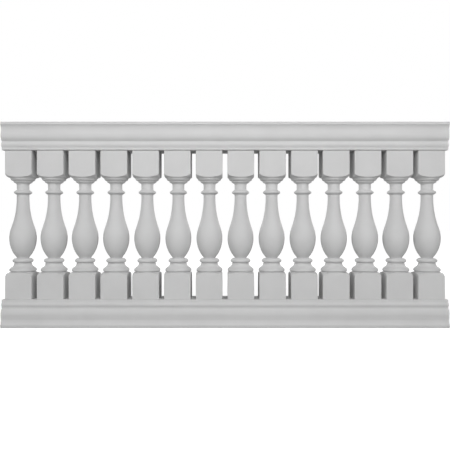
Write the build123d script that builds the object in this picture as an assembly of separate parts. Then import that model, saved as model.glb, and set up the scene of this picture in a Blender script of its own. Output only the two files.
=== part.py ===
from build123d import *

import math
import os

# Real sizes in millimetres. X runs along the balustrade, the front faces -Y, and Z is up from the floor.

# Layout of the bay
BALUSTER_COUNT = 14
PITCH = 142.2
LENGTH = BALUSTER_COUNT * PITCH
HEIGHT = 914.4
RAIL_DEPTH = 123.7
WALL = 5.0

# Rail moulding, as half widths and distances from the rail's outer edge
SLAB_HALF = 83.5
SLAB_DEPTH = 12.2
SLAB_ARRIS = 5.5
COVE_START = (82.4, 13.0)
COVE_MIDDLE = (76.9, 21.5)
COVE_END = (74.5, 33.0)
BULGE_START = (74.5, 36.0)
BULGE_BELLY = [(75.6, 41.6), (77.6, 49.0), (78.8, 59.5), (74.8, 75.0)]
QUIRK_HALF = 67.0
QUIRK_START = 84.0
QUIRK_END = 90.0
BAND_BELLY = [(71.4, 99.5), (69.0, 108.0)]
FASCIA_HALF = 66.2
FASCIA_START = 117.0
FASCIA_ARRIS = 3.0

# Plate that closes the top rail, and the flanges the bottom rail stands on
SOFFIT_THICKNESS = 6.0
GLUE_LINE = 0.1
FLANGE_THICKNESS = 6.0
FLANGE_WIDTH = 24.0

# Square blocks of a baluster: the lower one ends flat, the upper one's corners are rounded over by the turning
BLOCK_HALF = 59.5
BLOCK_ARRIS = 2.0
BLOCK_BOTTOM = RAIL_DEPTH
BLOCK_TOP = HEIGHT - RAIL_DEPTH
LOWER_FACE_END = 241.8
UPPER_FACE_END = 671.6
SHOULDER_CURVE = [(0.0, 0.0), (6.5, 2.0), (14.0, 5.2), (19.5, 9.4), (25.2, 17.6)]
CORNER_RADIUS = BLOCK_HALF + SHOULDER_CURVE[-1][0]

# Turned part of a baluster, as radius and height: points on each curve from the lower block up to the upper one
BASE_QUIRK_RADIUS = 54.0
BASE_ROLL = [(54.0, 245.0), (58.0, 246.9), (60.0, 252.0), (58.6, 257.2), (53.4, 260.6)]
BASE_HOLLOW = [(53.2, 263.4), (47.4, 267.0), (42.2, 271.6), (39.8, 276.2), (39.0, 281.6)]
COLLAR_QUIRK_FOOT = (37.0, 282.0)
COLLAR = [(37.0, 285.4), (43.4, 288.2), (45.7, 294.0), (43.8, 299.4), (39.4, 303.0), (33.0, 304.6)]
NECK_RADIUS = 27.2
WAIST = (26.4, 305.8)
SHAFT_FOOT = (29.5, 311.4)
SHAFT_TOP = 575.0
SHAFT_CURVE = [
    (29.3, 540.0),
    (34.4, 504.0),
    (43.2, 468.0),
    (52.2, 440.0),
    (58.6, 413.0),
    (59.7, 399.0),
    (57.3, 371.0),
    (51.4, 349.0),
    (42.7, 330.0),
]
RING_BELOW = [(27.2, 593.0), (31.4, 596.4), (36.6, 600.0), (39.4, 603.4)]
RING_ABOVE = [(39.4, 605.6), (36.2, 610.0), (30.8, 614.2), (27.2, 617.8)]
BELL = [(27.2, 639.4), (28.6, 643.2), (33.4, 646.9), (39.0, 649.7)]
BELL_FILLET = (41.0, 652.2)
CAPITAL_ROLL = [(41.2, 655.8), (47.0, 658.0), (50.7, 660.4), (52.6, 662.8)]
CAPITAL_FILLET = (53.0, 665.8)
CAPITAL_RADIUS = 58.7

# Space inside a baluster, where it isn't simply one wall thickness in
HOLLOW_BASE = [(49, 247), (53, 251), (50, 256), (38.5, 265), (34, 276), (32, 281), (32, 287), (35, 294),
               (22, 300), (21.4, 313)]
HOLLOW_SHOULDER = [(50, 671), (54, 680), (77, 686), (84, 692)]

# Tie rod with its washers and nuts
ROD_RADIUS = 6.0
ROD_HOLE_RADIUS = 7.0
ROD_END = 20.0
ROD_CHAMFER = 1.0
WASHER_RADIUS = 18.5
WASHER_THICKNESS = 3.0
NUT_WIDTH = 19.0
NUT_HEIGHT = 10.0


def rail_side(inset, slab_arris, fascia_arris):
    """Edges of one side of the moulding, from the outer edge down to the edge beside the blocks."""

    def at(half_width, depth):
        return (half_width - inset, depth)

    slab = SLAB_HALF - inset
    fascia = FASCIA_HALF - inset
    edges = []
    if slab_arris:
        edges.append(RadiusArc((slab - slab_arris, 0), (slab, slab_arris), -slab_arris))
    edges.append(Line((slab, slab_arris), (slab, SLAB_DEPTH)))
    edges.append(Line((slab, SLAB_DEPTH), at(*COVE_START)))
    edges.append(Spline(at(*COVE_START), at(*COVE_MIDDLE), at(*COVE_END), tangents=[(-1, 1.1), (0, 1)]))
    edges.append(Line(at(*COVE_END), at(*BULGE_START)))
    bulge = [BULGE_START] + BULGE_BELLY + [(QUIRK_HALF, QUIRK_START)]
    edges.append(Spline(*[at(*point) for point in bulge], tangents=[(0, 1), (-1, 1)]))
    edges.append(Line(at(QUIRK_HALF, QUIRK_START), at(QUIRK_HALF, QUIRK_END)))
    band = [(QUIRK_HALF, QUIRK_END)] + BAND_BELLY + [(FASCIA_HALF, FASCIA_START)]
    edges.append(Spline(*[at(*point) for point in band], tangents=[(0.5, 1), (0, 1)]))
    edges.append(Line(at(FASCIA_HALF, FASCIA_START), (fascia, RAIL_DEPTH - fascia_arris)))
    if fascia_arris:
        edges.append(
            RadiusArc(
                (fascia, RAIL_DEPTH - fascia_arris), (fascia - fascia_arris, RAIL_DEPTH), -fascia_arris
            )
        )
    return edges


def closed_section(side):
    """Face between one side of the moulding and its mirror image."""
    other = [mirror(edge, about=Plane.YZ) for edge in side]
    first = side[0] @ 0
    last = side[-1] @ 1
    caps = [
        Line((-first.X, first.Y), (first.X, first.Y)),
        Line((-last.X, last.Y), (last.X, last.Y)),
    ]
    return make_face(side + other + caps)


def rail_section():
    """Solid outline of a rail, outer edge at zero and blocks' edge at RAIL_DEPTH."""
    return closed_section(rail_side(0, SLAB_ARRIS, FASCIA_ARRIS))


def rail_hollow():
    """Outline of the space inside a rail, one wall thickness in from both sides."""
    return closed_section(rail_side(WALL, 0, 0))


def strip(half_width, low, high):
    """Flat band across the section between two distances from the outer edge."""
    middle = (low + high) / 2
    return Pos(0, middle) * Rectangle(2 * half_width, high - low)


def along_bay(section):
    """Section, drawn as width and height, run along the whole bay."""
    stood_up = Plane.YZ * section
    return Pos(-LENGTH / 2, 0, 0) * extrude(stood_up, amount=LENGTH, dir=(1, 0, 0))


def baluster_places():
    """Middle of each baluster along X."""
    first = -(BALUSTER_COUNT - 1) / 2 * PITCH
    return [first + number * PITCH for number in range(BALUSTER_COUNT)]


def drill_for_rods(plate, height):
    """Cut a clearance hole for each tie rod through a plate at the given height."""
    for place in baluster_places():
        plate -= Pos(place, 0, height) * Cylinder(ROD_HOLE_RADIUS, 4 * SOFFIT_THICKNESS)
    return plate


def make_bottom_rail():
    hollow = rail_hollow() & strip(2 * SLAB_HALF, FLANGE_THICKNESS, RAIL_DEPTH - WALL)
    mouth = strip(SLAB_HALF - WALL - FLANGE_WIDTH, -1, FLANGE_THICKNESS)
    rail = along_bay(rail_section() - hollow - mouth)
    return drill_for_rods(rail, RAIL_DEPTH)


def make_top_rail():
    hollow = rail_hollow() & strip(2 * SLAB_HALF, WALL, RAIL_DEPTH + 1)
    section = rail_section() - hollow
    return along_bay(Pos(0, HEIGHT) * mirror(section, about=Plane.XZ))


def make_soffit():
    half_width = FASCIA_HALF - WALL - GLUE_LINE
    plate = along_bay(strip(half_width, BLOCK_TOP, BLOCK_TOP + SOFFIT_THICKNESS))
    return drill_for_rods(plate, BLOCK_TOP)


def joined(*points):
    """Straight edges from each point to the next."""
    return [Line(start, end) for start, end in zip(points, points[1:])]


def turned_outline():
    """Half outline of the turned baluster, as radius and height, closed along its axis."""
    lower_block = joined((0, BLOCK_BOTTOM), (CORNER_RADIUS, BLOCK_BOTTOM), (CORNER_RADIUS, LOWER_FACE_END),
                         (BASE_QUIRK_RADIUS, LOWER_FACE_END), BASE_ROLL[0])
    base = [Spline(*BASE_ROLL, tangents=[(1, 0.25), (-1, 0.15)])]
    base += joined(BASE_ROLL[-1], BASE_HOLLOW[0])
    base += [Spline(*BASE_HOLLOW, tangents=[(-1, 0.35), (0, 1)])]
    base += joined(BASE_HOLLOW[-1], COLLAR_QUIRK_FOOT, COLLAR[0])
    base += [Spline(*COLLAR, tangents=[(1, 0.1), (-1, 0.1)])]
    base += joined(COLLAR[-1], WAIST, SHAFT_FOOT)
    shaft = [Spline(SHAFT_FOOT, *reversed(SHAFT_CURVE), (NECK_RADIUS, SHAFT_TOP))]
    shaft += joined((NECK_RADIUS, SHAFT_TOP), RING_BELOW[0])
    ring = [Spline(*RING_BELOW, tangents=[(0.5, 1), (0, 1)])]
    ring += joined(RING_BELOW[-1], RING_ABOVE[0])
    ring += [Spline(*RING_ABOVE, tangents=[(0, 1), (-0.4, 1)])]
    ring += joined(RING_ABOVE[-1], BELL[0])
    capital = [Spline(*BELL, tangents=[(0, 1), (1, 0.5)])]
    capital += joined(BELL[-1], BELL_FILLET, CAPITAL_ROLL[0])
    capital += [Spline(*CAPITAL_ROLL, tangents=[(1, 0.2), (0.5, 1)])]
    capital += joined(CAPITAL_ROLL[-1], CAPITAL_FILLET, (CAPITAL_RADIUS, UPPER_FACE_END),
                      (BLOCK_HALF, UPPER_FACE_END))
    upper_block = [Spline(*[(BLOCK_HALF + out, UPPER_FACE_END + up) for out, up in SHOULDER_CURVE])]
    upper_block += joined((CORNER_RADIUS, UPPER_FACE_END + SHOULDER_CURVE[-1][1]), (CORNER_RADIUS, BLOCK_TOP),
                          (0, BLOCK_TOP), (0, BLOCK_BOTTOM))
    return make_face(lower_block + base + shaft + ring + capital + upper_block)


def hollow_outline():
    """Half outline of the space inside a baluster, one wall thickness or a little more in from the skin."""
    foot = BLOCK_BOTTOM - 1
    head = BLOCK_TOP + 1
    outside = CORNER_RADIUS + WALL
    roof = LOWER_FACE_END - WALL
    neck = NECK_RADIUS - WALL
    shaft = [HOLLOW_BASE[-1]] + [(radius - WALL, height) for radius, height in reversed(SHAFT_CURVE)]
    shaft.append((neck, SHAFT_TOP))
    edges = joined((0, foot), (outside, foot), (outside, roof), (HOLLOW_BASE[0][0], roof), *HOLLOW_BASE)
    edges.append(Spline(*shaft))
    edges += joined((neck, SHAFT_TOP), (neck, BELL[0][1]), *HOLLOW_SHOULDER, (outside, HOLLOW_SHOULDER[-1][1]),
                    (outside, head), (0, head), (0, foot))
    return make_face(edges)


def turn(outline):
    """Spin a half outline about the baluster's axis."""
    return revolve(Plane.XZ * outline, axis=Axis.Z, revolution_arc=360)


def square_bar(half_width, corner):
    """Square bar with rounded long edges, taller than a baluster."""
    height = BLOCK_TOP - BLOCK_BOTTOM + 4
    section = RectangleRounded(2 * half_width, 2 * half_width, corner)
    return Pos(0, 0, BLOCK_BOTTOM - 2) * extrude(section, amount=height, dir=(0, 0, 1))


def make_baluster():
    skin = square_bar(BLOCK_HALF, BLOCK_ARRIS) & turn(turned_outline())
    hollow = square_bar(BLOCK_HALF - WALL, BLOCK_ARRIS) & turn(hollow_outline())
    return skin - hollow


def hexagon_nut():
    """Nut standing on zero, its corners cut back by a cone at both ends."""
    flats = NUT_WIDTH / 2
    corners = flats / math.cos(math.pi / 6)
    cut = (corners - 0.95 * flats) * math.tan(math.pi / 6)
    nut = extrude(RegularPolygon(flats, 6, major_radius=False), amount=NUT_HEIGHT)
    turned = Pos(0, 0, NUT_HEIGHT / 2) * Cylinder(corners, NUT_HEIGHT)
    turned = chamfer(turned.edges().filter_by(GeomType.CIRCLE), cut, corners - 0.95 * flats)
    return nut & turned


def make_tie_rod():
    under_plate = RAIL_DEPTH - WALL
    over_plate = BLOCK_TOP + SOFFIT_THICKNESS
    low = under_plate - ROD_END
    high = over_plate + ROD_END
    rod = Pos(0, 0, (low + high) / 2) * Cylinder(ROD_RADIUS, high - low)
    rod = chamfer(rod.edges().filter_by(GeomType.CIRCLE), ROD_CHAMFER)
    for face, direction in ((under_plate, -1), (over_plate, 1)):
        washer_middle = face + direction * WASHER_THICKNESS / 2
        nut_middle = face + direction * (WASHER_THICKNESS + NUT_HEIGHT / 2)
        rod += Pos(0, 0, washer_middle) * Cylinder(WASHER_RADIUS, WASHER_THICKNESS)
        rod += Pos(0, 0, nut_middle - NUT_HEIGHT / 2) * hexagon_nut()
    return rod


def main():
    os.makedirs("parts", exist_ok=True)
    pieces = {
        "bottom_rail": make_bottom_rail(),
        "top_rail": make_top_rail(),
        "top_rail_soffit": make_soffit(),
    }
    baluster = make_baluster()
    tie_rod = make_tie_rod()
    for number, place in enumerate(baluster_places(), start=1):
        pieces[f"baluster_{number:02d}"] = Pos(place, 0, 0) * baluster
        pieces[f"tie_rod_{number:02d}"] = Pos(place, 0, 0) * tie_rod
    for node, solid in pieces.items():
        export_step(solid, f"parts/{node}.step")


main()
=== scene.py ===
import math

import bmesh
import bpy
from mathutils import Matrix, Vector


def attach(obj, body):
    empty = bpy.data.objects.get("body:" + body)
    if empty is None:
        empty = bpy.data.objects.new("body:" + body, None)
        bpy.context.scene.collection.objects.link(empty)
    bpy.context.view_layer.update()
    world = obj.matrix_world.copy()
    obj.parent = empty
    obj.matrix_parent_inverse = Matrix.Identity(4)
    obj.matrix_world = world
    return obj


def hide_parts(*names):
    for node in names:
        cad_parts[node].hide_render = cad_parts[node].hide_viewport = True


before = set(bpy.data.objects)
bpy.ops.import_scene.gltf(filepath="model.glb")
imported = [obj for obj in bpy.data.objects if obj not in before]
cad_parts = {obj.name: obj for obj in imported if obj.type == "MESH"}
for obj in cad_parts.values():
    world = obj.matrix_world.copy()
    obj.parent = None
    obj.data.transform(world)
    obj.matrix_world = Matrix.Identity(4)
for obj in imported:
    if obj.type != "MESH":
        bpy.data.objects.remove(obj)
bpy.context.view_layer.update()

# Sizes repeated from the model, in metres
BALUSTER_COUNT = 14
PITCH = 0.1422
HEIGHT = 0.9144
RAIL_DEPTH = 0.1237
WALL = 0.005
SOFFIT_THICKNESS = 0.006

# Tie rods: plates that they clamp, then shank, thread, washer and nut, in metres
UNDER_PLATE = RAIL_DEPTH - WALL
OVER_PLATE = HEIGHT - RAIL_DEPTH + SOFFIT_THICKNESS
ROD_RADIUS = 0.006
ROD_STEPS = 24
ROD_END = 0.020
SHANK_RADIUS = 0.0054
THREAD_PITCH = 0.00175
THREAD_DEPTH = 0.00095
THREAD_RINGS = 8
THREAD_START = 0.001
WASHER_RADIUS = 0.0185
WASHER_THICKNESS = 0.003
WASHER_EDGE = 0.0004
WASHER_STEPS = 48
NUT_WIDTH = 0.019
NUT_HEIGHT = 0.010
NUT_STEPS = 48
NUT_FACE_SHARE = 0.95
NUT_CHAMFER = math.radians(30)

# Lower block of a baluster, the turned shoulder of its corners and the hollow below it, in metres
BLOCK_HALF = 0.0595
BLOCK_TOP = 0.2418
HOLLOW_TOP = BLOCK_TOP - WALL
HOLLOW_CORNER = 0.07
CORNER_THICKENING = 0.012
SHOULDER_WIDTH = 0.0252
SHOULDER_SLOPE = 0.0072
SHOULDER_CURL = 0.0104
SHOULDER_RINGS = 12
SHOULDER_STEPS = 128
CUTTER_RISE = 0.002
SAME_VERTEX = 0.000001
SAME_HEIGHT = 0.0001
SHARP_ANGLE = math.radians(30)

# Greys and roughness of the glass fibre
GELCOAT = 0.62
GELCOAT_CHANGE = 0.025
GELCOAT_ROUGHNESS = (0.58, 0.68)
LAMINATE = 0.42
LAMINATE_ROUGHNESS = (0.45, 0.75)

# Patterns in the materials, as the number of clouds or crystals to the metre
CLOUDS = 9.0
SPECKLES = 900.0
SPECKLE_SHARE = 0.3
SHEEN_CLOUDS = 60.0
PEEL_CLOUDS = 240.0
RESIN_CLOUDS = 45.0
LAYER_CLOUDS = 120.0
SAW_CLOUDS = 60.0
SAW_STRETCH = (1, 1, 14)
WANDER_CLOUDS = 30.0
TARNISH_CLOUDS = 120.0
ZINC_CRYSTALS = 500.0
ZINC_GRAINS = 700.0
NOISE_RANGE = (0.3, 0.7)

# Which way a face looks, as the least or greatest part of its normal along one axis
LOOKS_INWARD = -0.2
LOOKS_DOWN = -0.5
LOOKS_UP = 0.5
LOOKS_ALONG = 0.9

# Small relief in the materials, in metres
EDGE_RADIUS = 0.0015
EDGE_SAMPLES = 4
PEEL_HEIGHT = 0.00006
WEAVE_PITCH = 0.008
WEAVE_HEIGHT = 0.0005
SAW_HEIGHT = 0.0003
LINE_WANDER = 0.0006
SEAM_EDGES = (0.0002, 0.0012)
SEAM_HEIGHT = 0.00012
BEAD_EDGES = (0.0007, 0.0013)
BEAD_HEIGHT = 0.0003
ZINC_HEIGHT = 0.00004
PLATE_TOLERANCE = 0.001

# Floor, with its glow near the object and far from it, and the distances between which that changes
FLOOR_SIZE = 60.0
FLOOR_COLOUR = 0.5
GLOW_NEAR = 0.75
GLOW_FAR = 1.0
SHADOW_REACH = (1.0, 4.0)

# Plain soft studio light: a key lamp in front and four equal fills at the corners
AMBIENT = 0.17
BACKDROP = 1.0
LAMP_TARGET = (0.0, 0.0, 0.45)
KEY_PLACE = (0.0, -2.3, 1.9)
KEY_SIZE = 1.5
KEY_POWER = 30.0
FILL_REACH = 3.2
FILL_HEIGHT = 1.8
FILL_SIZE = 2.0
FILL_POWER = 52.5

# Camera of the photograph: square in front, level, at half height
CAMERA_DISTANCE = 2.4874
CAMERA_HEIGHT = 0.4563
FIELD_OF_VIEW = math.radians(45)
SENSOR_WIDTH = 36.0


def grey(level, warmth=0.0):
    """Colour of one brightness, a little warmer or not."""
    return (level * (1 + warmth), level, level * (1 - warmth), 1.0)


def empty_tree(owner):
    """Node tree of a material or a world, without its first nodes."""
    owner.use_nodes = True
    owner.node_tree.nodes.clear()
    return owner.node_tree


class Shader:
    """A procedural material and short calls that add nodes to it."""

    def __init__(self, name):
        self.material = bpy.data.materials.new(name)
        self.tree = empty_tree(self.material)
        self.output = self.tree.nodes.new("ShaderNodeOutputMaterial")
        self.place = self.tree.nodes.new("ShaderNodeTexCoord").outputs["Object"]
        axes = self.tree.nodes.new("ShaderNodeSeparateXYZ")
        self.tree.links.new(self.place, axes.inputs[0])
        self.x, self.y, self.z = axes.outputs
        facing = self.tree.nodes.new("ShaderNodeSeparateXYZ")
        geometry = self.tree.nodes.new("ShaderNodeNewGeometry")
        self.tree.links.new(geometry.outputs["Normal"], facing.inputs[0])
        self.face_x, self.face_y, self.face_z = facing.outputs

    def feed(self, socket, value):
        """Link an output to a socket, or set the socket's own value."""
        if isinstance(value, bpy.types.NodeSocket):
            self.tree.links.new(value, socket)
        else:
            socket.default_value = value

    def math(self, operation, first, second=0.0):
        """Result of one sum."""
        node = self.tree.nodes.new("ShaderNodeMath")
        node.operation = operation
        self.feed(node.inputs[0], first)
        self.feed(node.inputs[1], second)
        return node.outputs[0]

    def close_to(self, value, target, tolerance):
        """1 where value is the target, give or take the tolerance."""
        result = self.math("COMPARE", value, target)
        result.node.inputs[2].default_value = tolerance
        return result

    def ramp(self, value, low, high, start=0.0, end=1.0):
        """Smooth change from start to end as value goes from low to high."""
        node = self.tree.nodes.new("ShaderNodeMapRange")
        node.interpolation_type = "SMOOTHSTEP"
        self.feed(node.inputs["Value"], value)
        self.feed(node.inputs["From Min"], low)
        self.feed(node.inputs["From Max"], high)
        self.feed(node.inputs["To Min"], start)
        self.feed(node.inputs["To Max"], end)
        return node.outputs["Result"]

    def stretched(self, scales):
        """Place on the object, with each axis scaled by its own factor."""
        node = self.tree.nodes.new("ShaderNodeMapping")
        self.feed(node.inputs["Vector"], self.place)
        node.inputs["Scale"].default_value = scales
        return node.outputs["Vector"]

    def noise(self, scale, detail=3.0, roughness=0.5, vector=None):
        """Cloudy pattern with this many clouds to the metre."""
        node = self.tree.nodes.new("ShaderNodeTexNoise")
        self.feed(node.inputs["Vector"], vector or self.place)
        node.inputs["Scale"].default_value = scale
        node.inputs["Detail"].default_value = detail
        node.inputs["Roughness"].default_value = roughness
        return node.outputs["Fac"]

    def cells(self, scale):
        """Distance to the middle of the nearest crystal, with this many to the metre."""
        node = self.tree.nodes.new("ShaderNodeTexVoronoi")
        self.feed(node.inputs["Vector"], self.place)
        node.inputs["Scale"].default_value = scale
        return node.outputs["Distance"]

    def mix(self, factor, first, second, kind="RGBA"):
        """Blend of two colours, or of two values of another kind."""
        node = self.tree.nodes.new("ShaderNodeMix")
        node.data_type = kind
        self.feed(node.inputs["Factor"], factor)
        self.feed(node.inputs["A"], first)
        self.feed(node.inputs["B"], second)
        return node.outputs["Result"]

    def soft_edges(self, radius):
        """Normal that rounds sharp edges over, as a mould does."""
        node = self.tree.nodes.new("ShaderNodeBevel")
        node.samples = EDGE_SAMPLES
        node.inputs["Radius"].default_value = radius
        return node.outputs["Normal"]

    def bump(self, height, distance, below=None):
        """Normal of a relief, this high in metres, over the normal below it."""
        node = self.tree.nodes.new("ShaderNodeBump")
        node.inputs["Distance"].default_value = distance
        self.feed(node.inputs["Height"], height)
        if below is not None:
            self.feed(node.inputs["Normal"], below)
        return node.outputs["Normal"]

    def finish(self, colour, roughness, normal, **fixed):
        """Surface shader from its changing inputs and its fixed ones."""
        surface = self.tree.nodes.new("ShaderNodeBsdfPrincipled")
        self.feed(surface.inputs["Base Color"], colour)
        self.feed(surface.inputs["Roughness"], roughness)
        self.feed(surface.inputs["Normal"], normal)
        for name, value in fixed.items():
            surface.inputs[name.replace("_", " ")].default_value = value
        self.tree.links.new(surface.outputs[0], self.output.inputs["Surface"])
        return self.material


def gelcoat_parts(shader):
    """Colour, roughness and normal of the sprayed matt gelcoat that every outer face has."""
    clouds = shader.math("MULTIPLY", shader.noise(CLOUDS, detail=4.0), 1 - SPECKLE_SHARE)
    speckles = shader.math("MULTIPLY", shader.noise(SPECKLES, detail=2.0), SPECKLE_SHARE)
    paler = shader.ramp(shader.math("ADD", clouds, speckles), *NOISE_RANGE)
    dark = grey(GELCOAT * (1 - GELCOAT_CHANGE))
    pale = grey(GELCOAT * (1 + GELCOAT_CHANGE))
    colour = shader.mix(paler, dark, pale)
    roughness = shader.ramp(shader.noise(SHEEN_CLOUDS), *NOISE_RANGE, *GELCOAT_ROUGHNESS)
    peel = shader.noise(PEEL_CLOUDS, detail=2.0)
    normal = shader.bump(peel, PEEL_HEIGHT, below=shader.soft_edges(EDGE_RADIUS))
    return colour, roughness, normal


def laminate_parts(shader):
    """Colour, roughness and normal of the woven glass on the back of a moulded shell."""
    turns = 2 * math.pi / WEAVE_PITCH
    warp = shader.math("SINE", shader.math("MULTIPLY", shader.x, turns))
    across = shader.math("ADD", shader.y, shader.z)
    weft = shader.math("SINE", shader.math("MULTIPLY", across, turns))
    weave = shader.math("MULTIPLY", warp, weft)
    resin = shader.noise(RESIN_CLOUDS, detail=5.0)
    height = shader.math("ADD", shader.math("MULTIPLY", weave, 0.5), resin)
    dark = grey(LAMINATE * 0.85, 0.03)
    pale = grey(LAMINATE * 1.1, 0.03)
    colour = shader.mix(shader.ramp(height, 0.0, 1.0), dark, pale)
    roughness = shader.ramp(resin, *NOISE_RANGE, *LAMINATE_ROUGHNESS)
    return colour, roughness, shader.bump(height, WEAVE_HEIGHT)


def glass_fibre(name, line_maker, inside_maker=None):
    """Gelcoat with its fine lines, and bare laminate on the faces that inside_maker marks."""
    shader = Shader(name)
    colour, roughness, normal = gelcoat_parts(shader)
    if inside_maker is not None:
        inside = inside_maker(shader)
        rough_colour, rough_roughness, rough_normal = laminate_parts(shader)
        colour = shader.mix(inside, colour, rough_colour)
        roughness = shader.mix(inside, roughness, rough_roughness, "FLOAT")
        normal = shader.mix(inside, normal, rough_normal, "VECTOR")
    colour, normal = line_maker(shader, colour, normal)
    return shader.finish(colour, roughness, normal, IOR=1.5, Specular_IOR_Level=0.12)


def rail_inside(shader):
    """1 on the faces of a rail shell that look inwards or downwards into its hollow."""
    outwards = shader.math("MULTIPLY", shader.math("SIGN", shader.y), shader.face_y)
    inward = shader.math("LESS_THAN", outwards, LOOKS_INWARD)
    down = shader.math("LESS_THAN", shader.face_z, LOOKS_DOWN)
    under_top = shader.math("GREATER_THAN", shader.z, HEIGHT - 1.5 * WALL)
    under_plate = shader.close_to(shader.z, UNDER_PLATE, PLATE_TOLERANCE)
    ceiling = shader.math("MULTIPLY", down, shader.math("MAXIMUM", under_top, under_plate))
    return shader.math("MAXIMUM", inward, ceiling)


def plate_inside(shader):
    """1 on the upper face of the plate that closes the top rail."""
    return shader.math("GREATER_THAN", shader.face_z, LOOKS_UP)


def cut_end(shader, colour, normal):
    """Sawn laminate edge at both ends of a rail: thin glass layers across the wall."""
    at_end = shader.math("GREATER_THAN", shader.math("ABSOLUTE", shader.face_x), LOOKS_ALONG)
    layers = shader.noise(LAYER_CLOUDS, detail=6.0, roughness=0.7)
    saw = shader.noise(SAW_CLOUDS, detail=4.0, vector=shader.stretched(SAW_STRETCH))
    edge_colour = shader.mix(layers, grey(GELCOAT * 0.72, 0.02), grey(GELCOAT * 0.95, 0.02))
    colour = shader.mix(at_end, colour, edge_colour)
    height = shader.math("MULTIPLY", at_end, saw)
    return colour, shader.bump(height, SAW_HEIGHT, below=normal)


def baluster_lines(shader, colour, normal):
    """Faint filled line where the mould's two halves met, and a bead of sealant at both rails."""
    wander = shader.math("MULTIPLY", shader.noise(WANDER_CLOUDS), LINE_WANDER)
    from_seam = shader.math("SUBTRACT", shader.math("ABSOLUTE", shader.y), wander)
    seam = shader.ramp(from_seam, *SEAM_EDGES, 1.0, 0.0)
    colour = shader.mix(shader.math("MULTIPLY", seam, 0.25), colour, grey(GELCOAT * 0.8))
    normal = shader.bump(seam, SEAM_HEIGHT, below=normal)
    from_middle = shader.math("ABSOLUTE", shader.math("SUBTRACT", shader.z, HEIGHT / 2))
    to_rail = shader.math("SUBTRACT", HEIGHT / 2 - RAIL_DEPTH, from_middle)
    bead_edge = shader.math("SUBTRACT", to_rail, shader.math("MULTIPLY", wander, 0.8))
    bead = shader.ramp(bead_edge, *BEAD_EDGES, 1.0, 0.0)
    colour = shader.mix(shader.math("MULTIPLY", bead, 0.6), colour, grey(GELCOAT * 0.7, 0.01))
    return colour, shader.bump(bead, BEAD_HEIGHT, below=normal)


def zinc_steel():
    """Bright zinc plating with its crystals and a little tarnish."""
    shader = Shader("zinc_steel")
    tarnish = shader.ramp(shader.noise(TARNISH_CLOUDS, detail=4.0), 0.35, 0.7)
    colour = shader.mix(tarnish, grey(0.62, 0.01), grey(0.48, 0.03))
    roughness = shader.ramp(shader.cells(ZINC_CRYSTALS), 0.0, 0.8, 0.28, 0.45)
    normal = shader.bump(shader.noise(ZINC_GRAINS), ZINC_HEIGHT)
    return shader.finish(colour, roughness, normal, Metallic=1.0)


def give(node, material):
    """Put one material on a CAD node."""
    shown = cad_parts[node]
    shown.data.materials.clear()
    shown.data.materials.append(material)


def middle_of(number):
    """Place of a baluster's axis along the bay."""
    return (number - (BALUSTER_COUNT + 1) / 2) * PITCH


def new_object(name, data):
    """Object with this mesh, in the scene."""
    made = bpy.data.objects.new(name, data)
    bpy.context.scene.collection.objects.link(made)
    return made


def new_mesh(name, mesh):
    """Blender's mesh from a finished bmesh."""
    data = bpy.data.meshes.new(name)
    mesh.to_mesh(data)
    mesh.free()
    return data


def round_rings(profile, steps):
    """Rings of one radius each, for add_loops."""
    return [[(radius, height)] * steps for radius, height in profile]


def add_loops(mesh, rings, centre):
    """Loops of vertices round an axis, from rings with one (radius, height) for each step."""
    steps = len(rings[0])
    loops = []
    for ring in rings:
        loop = []
        for step, (radius, height) in enumerate(ring):
            angle = 2 * math.pi * step / steps
            along = centre + radius * math.cos(angle)
            loop.append(mesh.verts.new((along, radius * math.sin(angle), height)))
        loops.append(loop)
    return loops


def add_skin(mesh, loops):
    """Faces between each loop and the next one."""
    steps = len(loops[0])
    for lower, upper in zip(loops, loops[1:]):
        for step in range(steps):
            following = (step + 1) % steps
            mesh.faces.new((lower[step], lower[following], upper[following], upper[step]))


def add_solid(mesh, rings, centre):
    """Closed solid through rings, with a flat face at both ends."""
    loops = add_loops(mesh, rings, centre)
    add_skin(mesh, loops)
    mesh.faces.new(list(reversed(loops[0])))
    mesh.faces.new(loops[-1])


def washer_rings(low, high):
    """Round washer with small chamfers."""
    profile = [
        (WASHER_RADIUS - WASHER_EDGE, low),
        (WASHER_RADIUS, low + WASHER_EDGE),
        (WASHER_RADIUS, high - WASHER_EDGE),
        (WASHER_RADIUS - WASHER_EDGE, high),
    ]
    return round_rings(profile, WASHER_STEPS)


def nut_rings(low, high):
    """Hexagon nut whose corners are cut by a cone on both faces."""
    apothem = NUT_WIDTH / 2
    face_radius = NUT_FACE_SHARE * apothem
    bottom = []
    lower = []
    upper = []
    top = []
    for step in range(NUT_STEPS):
        turn = (2 * math.pi * step / NUT_STEPS) % (math.pi / 3) - math.pi / 6
        radius = apothem / math.cos(turn)
        drop = (radius - face_radius) * math.tan(NUT_CHAMFER)
        bottom.append((face_radius, low))
        lower.append((radius, low + drop))
        upper.append((radius, high - drop))
        top.append((face_radius, high))
    return [bottom, lower, upper, top]


def thread_rings(low, high):
    """Threaded rod end: a groove that winds round it and a chamfered tip."""
    count = round((high - low) / THREAD_PITCH * THREAD_RINGS)
    tip = high if high > HEIGHT / 2 else low
    rings = []
    for index in range(count + 1):
        height = low + (high - low) * index / count
        ring = []
        for step in range(ROD_STEPS):
            phase = (height / THREAD_PITCH - step / ROD_STEPS) % 1.0
            groove = abs(2 * phase - 1)
            radius = ROD_RADIUS - THREAD_DEPTH * groove
            radius = min(radius, ROD_RADIUS - THREAD_DEPTH + abs(height - tip))
            ring.append((radius, height))
        rings.append(ring)
    return rings


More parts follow.
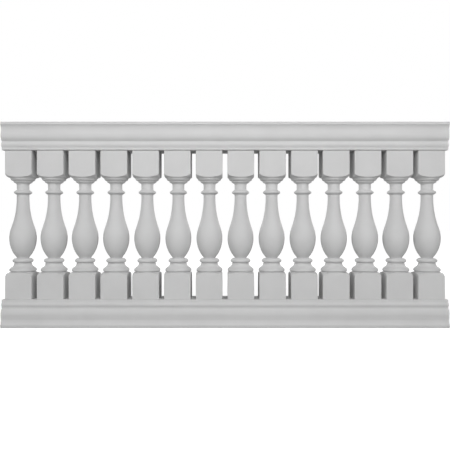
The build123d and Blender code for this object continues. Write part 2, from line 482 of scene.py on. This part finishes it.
def make_tie_rod(number):
    """Shank, threaded ends, nuts and washers of one tie rod, in the place of its plain CAD solid."""
    centre = middle_of(number)
    mesh = bmesh.new()
    shank = [(SHANK_RADIUS, UNDER_PLATE), (SHANK_RADIUS, OVER_PLATE)]
    add_solid(mesh, round_rings(shank, ROD_STEPS), centre)
    for plate, way in ((UNDER_PLATE, -1), (OVER_PLATE, 1)):
        washer_face = plate + way * WASHER_THICKNESS
        nut_face = washer_face + way * NUT_HEIGHT
        tip = plate + way * ROD_END
        add_solid(mesh, washer_rings(*sorted((plate, washer_face))), centre)
        add_solid(mesh, nut_rings(*sorted((washer_face, nut_face))), centre)
        add_solid(mesh, thread_rings(*sorted((nut_face - way * THREAD_START, tip))), centre)
    rod = new_object(f"tie_rod_detail_{number:02d}", new_mesh(f"tie_rod_detail_{number:02d}", mesh))
    rod.data.materials.append(rod_material)
    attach(rod, "root")
    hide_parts(f"tie_rod_{number:02d}")


def shoulder_cutter(centre):
    """Ring of the shape that turning takes off the upper corners of a lower block."""
    profile = []
    for step in range(-1, SHOULDER_RINGS + 2):
        part = step / SHOULDER_RINGS
        drop = SHOULDER_SLOPE * part + SHOULDER_CURL * max(part, 0.0) ** 4
        profile.append((BLOCK_HALF + SHOULDER_WIDTH * part, BLOCK_TOP - drop))
    profile.append((profile[-1][0], BLOCK_TOP + CUTTER_RISE))
    profile.append((profile[0][0], BLOCK_TOP + CUTTER_RISE))
    mesh = bmesh.new()
    loops = add_loops(mesh, round_rings(profile, SHOULDER_STEPS), centre)
    add_skin(mesh, loops + loops[:1])
    bmesh.ops.recalc_face_normals(mesh, faces=mesh.faces)
    return new_object("shoulder_cutter", new_mesh("shoulder_cutter", mesh))


def closed_baluster(centre):
    """Closed copy of the first baluster, with more wall where the shoulder would break through it."""
    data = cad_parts["baluster_01"].data.copy()
    stored_normals = data.attributes.get("custom_normal")
    if stored_normals is not None:
        data.attributes.remove(stored_normals)
    mesh = bmesh.new()
    mesh.from_mesh(data)
    bmesh.ops.remove_doubles(mesh, verts=mesh.verts, dist=SAME_VERTEX)
    for vertex in mesh.verts:
        from_axis = math.hypot(vertex.co.x - centre, vertex.co.y)
        if from_axis > HOLLOW_CORNER and abs(vertex.co.z - HOLLOW_TOP) < SAME_HEIGHT:
            vertex.co.z -= CORNER_THICKENING
    return new_object("closed_baluster", new_mesh("closed_baluster", mesh))


def turned_mesh(centre):
    """Mesh of the first baluster with the upper corners of its lower block turned off."""
    whole = closed_baluster(centre)
    cutter = shoulder_cutter(centre)
    cut = whole.modifiers.new("cut", "BOOLEAN")
    cut.operation = "DIFFERENCE"
    cut.solver = "EXACT"
    cut.object = cutter
    bpy.context.view_layer.update()
    result = whole.evaluated_get(bpy.context.evaluated_depsgraph_get())
    data = bpy.data.meshes.new_from_object(result)
    bpy.data.objects.remove(whole)
    bpy.data.objects.remove(cutter)
    data.shade_smooth()
    data.set_sharp_from_angle(angle=SHARP_ANGLE)
    return data


def make_baluster(number, turned):
    """One baluster in the place of its CAD solid, from the mesh of the first one."""
    data = turned.copy()
    data.name = f"baluster_turned_{number:02d}"
    data.transform(Matrix.Translation(((number - 1) * PITCH, 0, 0)))
    data.materials.clear()
    data.materials.append(baluster_material)
    baluster = new_object(f"baluster_turned_{number:02d}", data)
    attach(baluster, "root")
    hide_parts(f"baluster_{number:02d}")


def backdrop_rays(tree):
    """1 for rays that see the backdrop: from the camera, in a gloss or through glass."""
    rays = tree.nodes.new("ShaderNodeLightPath")
    seen = rays.outputs["Is Camera Ray"]
    for kind in ("Is Glossy Ray", "Is Transmission Ray"):
        either = tree.nodes.new("ShaderNodeMath")
        either.operation = "MAXIMUM"
        tree.links.new(seen, either.inputs[0])
        tree.links.new(rays.outputs[kind], either.inputs[1])
        seen = either.outputs[0]
    return seen


def floor_glow(tree):
    """Light of the floor itself, which makes it as white as the backdrop away from the object."""
    place = tree.nodes.new("ShaderNodeTexCoord")
    distance = tree.nodes.new("ShaderNodeVectorMath")
    distance.operation = "LENGTH"
    tree.links.new(place.outputs["Object"], distance.inputs[0])
    fade = tree.nodes.new("ShaderNodeMapRange")
    fade.interpolation_type = "SMOOTHSTEP"
    tree.links.new(distance.outputs["Value"], fade.inputs["Value"])
    fade.inputs["From Min"].default_value, fade.inputs["From Max"].default_value = SHADOW_REACH
    fade.inputs["To Min"].default_value = GLOW_NEAR
    fade.inputs["To Max"].default_value = GLOW_FAR
    amount = tree.nodes.new("ShaderNodeMath")
    amount.operation = "MULTIPLY"
    tree.links.new(backdrop_rays(tree), amount.inputs[0])
    tree.links.new(fade.outputs["Result"], amount.inputs[1])
    glow = tree.nodes.new("ShaderNodeEmission")
    tree.links.new(amount.outputs[0], glow.inputs["Strength"])
    return glow.outputs[0]


def floor_material():
    """Matt pale floor with a glow of its own."""
    material = bpy.data.materials.new("pale_floor")
    tree = empty_tree(material)
    matt = tree.nodes.new("ShaderNodeBsdfDiffuse")
    matt.inputs["Color"].default_value = grey(FLOOR_COLOUR)
    both = tree.nodes.new("ShaderNodeAddShader")
    tree.links.new(matt.outputs[0], both.inputs[0])
    tree.links.new(floor_glow(tree), both.inputs[1])
    output = tree.nodes.new("ShaderNodeOutputMaterial")
    tree.links.new(both.outputs[0], output.inputs["Surface"])
    return material


def make_floor():
    """Plain floor that keeps the shadow round the object and fades to white away from it."""
    bpy.ops.mesh.primitive_plane_add(size=FLOOR_SIZE)
    floor = bpy.context.object
    floor.name = "floor"
    floor.data.materials.append(floor_material())


def even_light(tree, strength):
    """White light of this strength from all round."""
    light = tree.nodes.new("ShaderNodeBackground")
    light.inputs["Color"].default_value = grey(1.0)
    light.inputs["Strength"].default_value = strength
    return light.outputs[0]


def make_world():
    """Soft even light all round, behind a white backdrop."""
    world = bpy.data.worlds.new("studio")
    bpy.context.scene.world = world
    tree = empty_tree(world)
    choice = tree.nodes.new("ShaderNodeMixShader")
    tree.links.new(backdrop_rays(tree), choice.inputs[0])
    tree.links.new(even_light(tree, AMBIENT), choice.inputs[1])
    tree.links.new(even_light(tree, BACKDROP), choice.inputs[2])
    output = tree.nodes.new("ShaderNodeOutputWorld")
    tree.links.new(choice.outputs[0], output.inputs["Surface"])


def make_lamp(name, place, size, power):
    """Round soft lamp that points at the middle of the object."""
    data = bpy.data.lights.new(name, "AREA")
    data.shape = "DISK"
    data.size = size
    data.energy = power
    lamp = new_object(name, data)
    lamp.location = place
    direction = Vector(LAMP_TARGET) - lamp.location
    lamp.rotation_euler = direction.to_track_quat("-Z", "Y").to_euler()
    lamp.visible_camera = False


def make_camera():
    """Camera that sees the object as the photograph does."""
    data = bpy.data.cameras.new("camera")
    data.sensor_width = SENSOR_WIDTH
    data.lens = SENSOR_WIDTH / 2 / math.tan(FIELD_OF_VIEW / 2)
    camera = new_object("camera", data)
    camera.location = (0.0, -CAMERA_DISTANCE, CAMERA_HEIGHT)
    camera.rotation_euler = (math.radians(90), 0.0, 0.0)
    bpy.context.scene.camera = camera


rail_material = glass_fibre("rail_gelcoat", cut_end, rail_inside)
plate_material = glass_fibre("plate_gelcoat", cut_end, plate_inside)
baluster_material = glass_fibre("baluster_gelcoat", baluster_lines)
rod_material = zinc_steel()

give("bottom_rail", rail_material)
give("top_rail", rail_material)
give("top_rail_soffit", plate_material)
turned = turned_mesh(middle_of(1))
for number in range(1, BALUSTER_COUNT + 1):
    make_baluster(number, turned)
    make_tie_rod(number)

make_floor()
make_world()
make_lamp("key", KEY_PLACE, KEY_SIZE, KEY_POWER)
for side in (-1, 1):
    for depth in (-1, 1):
        corner = (side * FILL_REACH, depth * FILL_REACH, FILL_HEIGHT)
        make_lamp("fill", corner, FILL_SIZE, FILL_POWER)
make_camera()
bpy.context.scene.view_settings.view_transform = "Standard"
